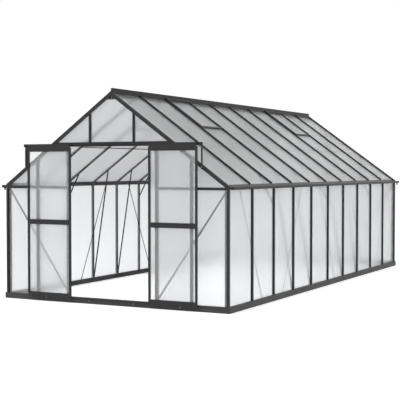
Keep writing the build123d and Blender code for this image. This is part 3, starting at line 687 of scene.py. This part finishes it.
upwards, frontwards, backwards = (0, 0, 1), (0, -1, 0), (0, 1, 0)
strip_width, strip_proud = 0.0022, 0.0025
half_strip = strip_width / 2
strip_depth, wall_strip_length, post_depth = 0.0205, 1.262, 0.032
tube_edge = 0.011 + half_strip
wall_strip_spots = []
for side in (-1, 1):
    turn = turn_to(upwards, (side, 0, 0))
    across = side * (wall_face - strip_depth)
    for line in bar_lines:
        for edge in (-tube_edge, tube_edge):
            wall_strip_spots.append(((across, line + edge, base_top), turn))
    for end in (-1, 1):
        line = end * (-front_face - post_depth - half_strip)
        wall_strip_spots.append(((across, line, base_top), turn))
wall_strip = strip_model(strip_width, strip_proud, wall_strip_length)
wall_strips = place_copies(wall_strip, wall_strip_spots)
finish_piece(wall_strips, "wall_rubbers", rubber, "house")

door_post_edge, front_bar, front_bar_half = 0.604, 1.021, 0.014
front_edges = (
    door_post_edge,
    front_bar - front_bar_half - strip_width,
    front_bar + front_bar_half,
    wall_face - corner_wide - strip_width,
)
back_bars = (0.2952, 0.8856)
end_strip_length = 1.247
sheet_front = front_face + strip_depth
end_strip_spots = []
for side in (-1, 1):
    for edge in front_edges:
        place = (side * (edge + half_strip), sheet_front, base_top)
        end_strip_spots.append((place, turn_to(upwards, frontwards)))
    for across in back_bars:
        for edge in (-tube_edge, tube_edge):
            place = (side * (across + edge), -sheet_front, base_top)
            end_strip_spots.append((place, turn_to(upwards, backwards)))
end_strip = strip_model(strip_width, strip_proud, end_strip_length)
end_strips = place_copies(end_strip, end_strip_spots)
finish_piece(end_strips, "end_wall_rubbers", rubber, "house")


def roof_ways(side):
    """Directions on a slope: up the roof, and out of it."""
    up_way = (-side * math.cos(slope), 0, math.sin(slope))
    outwards = (side * math.sin(slope), 0, math.cos(slope))
    return up_way, outwards


roof_strip_foot, sheet_depth, roof_strip_length = 0.046, 0.017, 1.735
roof_tube_edge = 0.01 + half_strip
roof_strip_spots = []
for side in (-1, 1):
    turn = turn_to(*roof_ways(side))
    for line in bar_lines:
        for edge in (-roof_tube_edge, roof_tube_edge):
            place = roof_spot(side, roof_strip_foot, sheet_depth, line + edge)
            roof_strip_spots.append((place, turn))
roof_strip = strip_model(strip_width, strip_proud, roof_strip_length)
roof_strips = place_copies(roof_strip, roof_strip_spots)
finish_piece(roof_strips, "roof_rubbers", rubber, "house")

# Gutters of coated aluminium, carried by small folded angle brackets that are
# bolted to the tops of the wall bars. A turned collar stiffens each spout, at
# the front on the right side and at the back on the left.
gutter_coat = coated(
    "gutter_coat", (0.016, 0.016, 0.018), dust=0.08, wear_and_highlight=0.25, roughness=0.38, ior=1.33
)
finish_nodes(gutter_coat, "left_gutter", "right_gutter")
leg, sheet_metal, reach, bracket_wide = 0.034, 0.0015, 0.0605, 0.016
gutter_floor, bracket_hole = 1.319, 0.021
bracket = block(
    (sheet_metal, bracket_wide, leg - sheet_metal),
    (sheet_metal / 2, 0, -(leg + sheet_metal) / 2),
)
pick_faces(bracket, lambda middle, normal: normal.z > 0.9)
push((0, 0, sheet_metal))
pick_faces(bracket, lambda middle, normal: normal.x > 0.9 and middle.z > -sheet_metal)
push((reach, 0, 0))
bpy.ops.object.mode_set(mode="OBJECT")
bracket_spots, bracket_bolt_spots = [], []
for side in (-1, 1):
    turn = (0, 0, 0 if side > 0 else math.pi)
    for line in bar_lines:
        bracket_spots.append(((side * wall_face, line, gutter_floor), turn))
        place = (side * (wall_face + sheet_metal), line, gutter_floor - bracket_hole)
        bracket_bolt_spots.append((place, face_out[side]))
brackets = place_copies(bracket, bracket_spots)
finish_piece(brackets, "gutter_brackets", frame_coat, "house")
bracket_bolt = bolt_model(head=0.0034, washer=0.0046, height=0.0026)
bracket_bolts = place_copies(bracket_bolt, bracket_bolt_spots)
finish_piece(bracket_bolts, "gutter_bracket_bolts", bolt_steel, "house")

collar_radius, collar_depth, collar_rim, collar_rise = 0.0125, 0.005, 0.002, 0.0012
start_piece()
bpy.ops.mesh.primitive_cylinder_add(vertices=28, radius=collar_radius, depth=collar_depth)
collar = bpy.context.object
pick_faces(collar, lambda middle, normal: abs(normal.z) > 0.9)
bpy.ops.mesh.inset(thickness=collar_rim, depth=collar_rise)
bpy.ops.object.mode_set(mode="OBJECT")
spout_across = wall_face + 0.0345
spout_line = -front_face - 0.02
collar_height = gutter_floor - 0.0026
collar_spots = [
    ((spout_across, spout_line, collar_height), (0, 0, 0)),
    ((-spout_across, -spout_line, collar_height), (0, 0, 0)),
]
collars = place_copies(collar, collar_spots)
finish_piece(collars, "spout_collars", frame_coat, "house")

# Ridge: a hollow extruded beam under a folded cap, both coated aluminium. A
# moulded cap is pushed into each end of the beam and closes it.
ridge_coat = coated(
    "ridge_coat", (0.014, 0.014, 0.016), dust=0.08, wear_and_highlight=0.25, roughness=0.4, ior=1.3
)
finish_nodes(ridge_coat, "ridge_beam", "ridge_cap")
ridge_low, ridge_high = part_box("ridge_cap")
ridge_end, end_cap_height = -ridge_low[1], ridge_high[2] - 0.0002
end_cap_wide, end_cap_depth, end_cap_drop = 0.0235, 0.004, 0.042
end_cap_round, end_cap_rim, end_cap_dish = 0.0012, 0.0025, 0.001
end_cap = block(
    (end_cap_wide, end_cap_depth, end_cap_drop), (0, end_cap_depth / 2, -end_cap_drop / 2)
)
pick_faces(end_cap, lambda middle, normal: normal.y > 0.9)
bpy.ops.mesh.bevel(offset=end_cap_round, segments=2, affect="EDGES")
pick_faces(end_cap, lambda middle, normal: normal.y > 0.999 and middle.y > 0.9 * end_cap_depth)
bpy.ops.mesh.inset(thickness=end_cap_rim, depth=-end_cap_dish)
bpy.ops.object.mode_set(mode="OBJECT")
end_cap_spots = [
    ((0, ridge_end, end_cap_height), (0, 0, 0)),
    ((0, -ridge_end, end_cap_height), (0, 0, math.pi)),
]
end_caps = place_copies(end_cap, end_cap_spots)
finish_piece(end_caps, "ridge_end_caps", rubber, "house")

# Roof vents, closed: aluminium frames on rows of hinge knuckles at the ridge. A
# rubber lip seals the lower edge, and a stay bar with pegs lies on the inside.
finish_nodes(frame_coat, "roof_vent_frames", "roof_vent_sills")
vent_lines = [bar_lines[0] + (number - 0.5) * bay for number in (2, 7)]
knuckle_length, knuckle_radius, knuckle_rim, knuckle_rise = 0.046, 0.0042, 0.001, 0.0007
knuckles, knuckle_pitch, hinge_up, hinge_depth = 10, 0.05, 1.7765, -0.0088
start_piece()
bpy.ops.mesh.primitive_cylinder_add(vertices=12, radius=knuckle_radius, depth=knuckle_length)
knuckle = bpy.context.object
pick_faces(knuckle, lambda middle, normal: abs(normal.z) > 0.9)
bpy.ops.mesh.inset(thickness=knuckle_rim, depth=knuckle_rise)
bpy.ops.object.mode_set(mode="OBJECT")
lip_up, lip_width, lip_proud, lip_length = 1.193, 0.006, 0.0036, 0.56
stay_up, stay_depth, stay_width, stay_thick, stay_length = 1.2, 0.0215, 0.012, 0.0025, 0.26
peg_ups, peg_depth = (1.212, 1.29, 1.37, 1.448), 0.024
knuckle_spots, lip_spots, stay_spots, peg_spots = [], [], [], []
for side in (-1, 1):
    up_way, outwards = roof_ways(side)
    inwards = tuple(-part for part in outwards)
    for line in vent_lines:
        for number in range(knuckles):
            knuckle_line = line + (number - (knuckles - 1) / 2) * knuckle_pitch
            place = roof_spot(side, hinge_up, hinge_depth, knuckle_line)
            knuckle_spots.append((place, face_front))
        place = roof_spot(side, lip_up, sheet_depth, line - lip_length / 2)
        lip_spots.append((place, turn_to(backwards, outwards)))
        place = roof_spot(side, stay_up, stay_depth, line)
        stay_spots.append((place, turn_to(up_way, inwards)))
        for up in peg_ups:
            peg_spots.append((roof_spot(side, up, peg_depth, line), under_roof[side]))
hinges = place_copies(knuckle, knuckle_spots)
finish_piece(hinges, "vent_hinges", frame_coat, "house")
lips = place_copies(strip_model(lip_width, lip_proud, lip_length), lip_spots)
finish_piece(lips, "vent_rubber_lips", rubber, "house")
stays = place_copies(strip_model(stay_width, stay_thick, stay_length), stay_spots)
finish_piece(stays, "vent_stays", frame_coat, "house")
pegs = place_copies(bolt_model(head=0.003, washer=0.0042, height=0.004), peg_spots)
finish_piece(pegs, "vent_stay_pegs", bolt_steel, "house")

# Door track: an extruded aluminium channel in front of the gable, held by
# brackets on the rafters and closed by moulded end caps. Rubber stops sit
# inside, and a guide for the doors runs below.
finish_nodes(frame_coat, "door_track", "track_brackets", "door_guide")
track_low, track_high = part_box("door_track")
track_middle = (track_low[1] + track_high[1]) / 2
track_tall = track_high[2] - track_low[2]
track_cap_thick, track_cap_round = 0.003, 0.001
track_cap = block(
    (track_cap_thick, track_high[1] - track_low[1], track_tall),
    (track_cap_thick / 2, 0, track_tall / 2),
)
pick_faces(track_cap, lambda middle, normal: normal.x > 0.9)
bpy.ops.mesh.bevel(offset=track_cap_round, segments=2, affect="EDGES")
bpy.ops.object.mode_set(mode="OBJECT")
track_cap_spots = [
    ((track_high[0], track_middle, track_low[2]), (0, 0, 0)),
    ((track_low[0], track_middle, track_low[2]), (0, 0, math.pi)),
]
track_caps = place_copies(track_cap, track_cap_spots)
finish_piece(track_caps, "track_end_caps", rubber, "house")

stop_radius, stop_length, stop_rim, stop_rise = 0.009, 0.011, 0.0015, 0.001
stop_face, stop_lip, stop_hole = 0.004, 0.0008, 0.002
track_wall, stop_gap = 0.0025, 0.0002
start_piece()
bpy.ops.mesh.primitive_cylinder_add(vertices=20, radius=stop_radius, depth=stop_length)
stop = bpy.context.object
pick_faces(stop, lambda middle, normal: abs(normal.z) > 0.9)
bpy.ops.mesh.inset(thickness=stop_rim, depth=stop_rise)
bpy.ops.mesh.inset(thickness=stop_face)
bpy.ops.mesh.inset(thickness=stop_lip, depth=-stop_hole)
bpy.ops.object.mode_set(mode="OBJECT")
stop_height = track_low[2] + track_wall + (stop_radius + stop_gap)
stop_spots = [((across, track_middle, stop_height), face_front) for across in (-1.06, 0, 1.06)]
stops = place_copies(stop, stop_spots)
finish_piece(stops, "track_stops", rubber, "house")

end_bracket, bracket_holes = 1.166, (1.562, 1.775)
track_bolt_spots = []
for side in (-1, 1):
    for height in bracket_holes:
        track_bolt_spots.append(((side * end_bracket, track_high[1], height), face_front))
track_bolt = bolt_model(head=0.0034, washer=0.0048, height=0.0026)
track_bolts = place_copies(track_bolt, track_bolt_spots)
finish_piece(track_bolts, "track_bracket_bolts", bolt_steel, "house")

# Doors: frames of square aluminium tube with a mid rail. The panes lie against
# rubber beads, and a rubber buffer runs down each meeting stile.
finish_nodes(
    frame_coat, "left_door_stiles", "left_door_rails", "right_door_stiles", "right_door_rails"
)
door_low, door_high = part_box("right_door_stiles")
stile, bead_width, bead_proud = 0.024, 0.0028, 0.003
half_bead = bead_width / 2
lower_pane, upper_pane, upright_bead = (0.103, 0.9), (0.952, 1.744), 0.792
buffer_width, buffer_proud, buffer_inset = 0.01, 0.0015, 0.01
pane_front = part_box("right_door_sheets")[0][1]
pane_left, pane_right = door_low[0] + stile, door_high[0] - stile
level_bead = pane_right - pane_left - 2 * bead_width
for side, body in ((-1, "left_door"), (1, "right_door")):
    upright_spots, level_spots = [], []
    for foot, head in (lower_pane, upper_pane):
        for across in (pane_left + half_bead, pane_right - half_bead):
            place = (side * across, pane_front, foot)
            upright_spots.append((place, turn_to(upwards, frontwards)))
        for height in (foot + half_bead, head - half_bead):
            start = pane_left if side > 0 else -pane_right
            place = (start + bead_width, pane_front, height)
            level_spots.append((place, turn_to(across_house, frontwards)))
    uprights = place_copies(strip_model(bead_width, bead_proud, upright_bead), upright_spots)
    levels = place_copies(strip_model(bead_width, bead_proud, level_bead), level_spots)
    start_piece()
    uprights.select_set(True)
    levels.select_set(True)
    bpy.context.view_layer.objects.active = levels
    bpy.ops.object.join()
    finish_piece(bpy.context.object, body + "_beads", rubber, body)

    buffer_length = door_high[2] - door_low[2] - 2 * buffer_inset
    buffer_line = (door_low[1] + door_high[1]) / 2
    place = (side * door_low[0], buffer_line, door_low[2] + buffer_inset)
    turn = turn_to(upwards, (-side, 0, 0))
    buffer = strip_model(buffer_width, buffer_proud, buffer_length)
    buffer = place_copies(buffer, [(place, turn)])
    finish_piece(buffer, body + "_buffer", rubber, body)

# Door gear: dark moulded wheels with their axles, in a cover plate on top of
# each door, that run in the track. Moulded shoes hook behind the guide below.
gear = coated("gear_plastic", (0.018, 0.018, 0.02), dust=0.06, wear_and_highlight=0.1, roughness=0.38)
finish_nodes(
    gear, "left_door_hangers", "right_door_hangers", "left_door_shoes", "right_door_shoes"
)
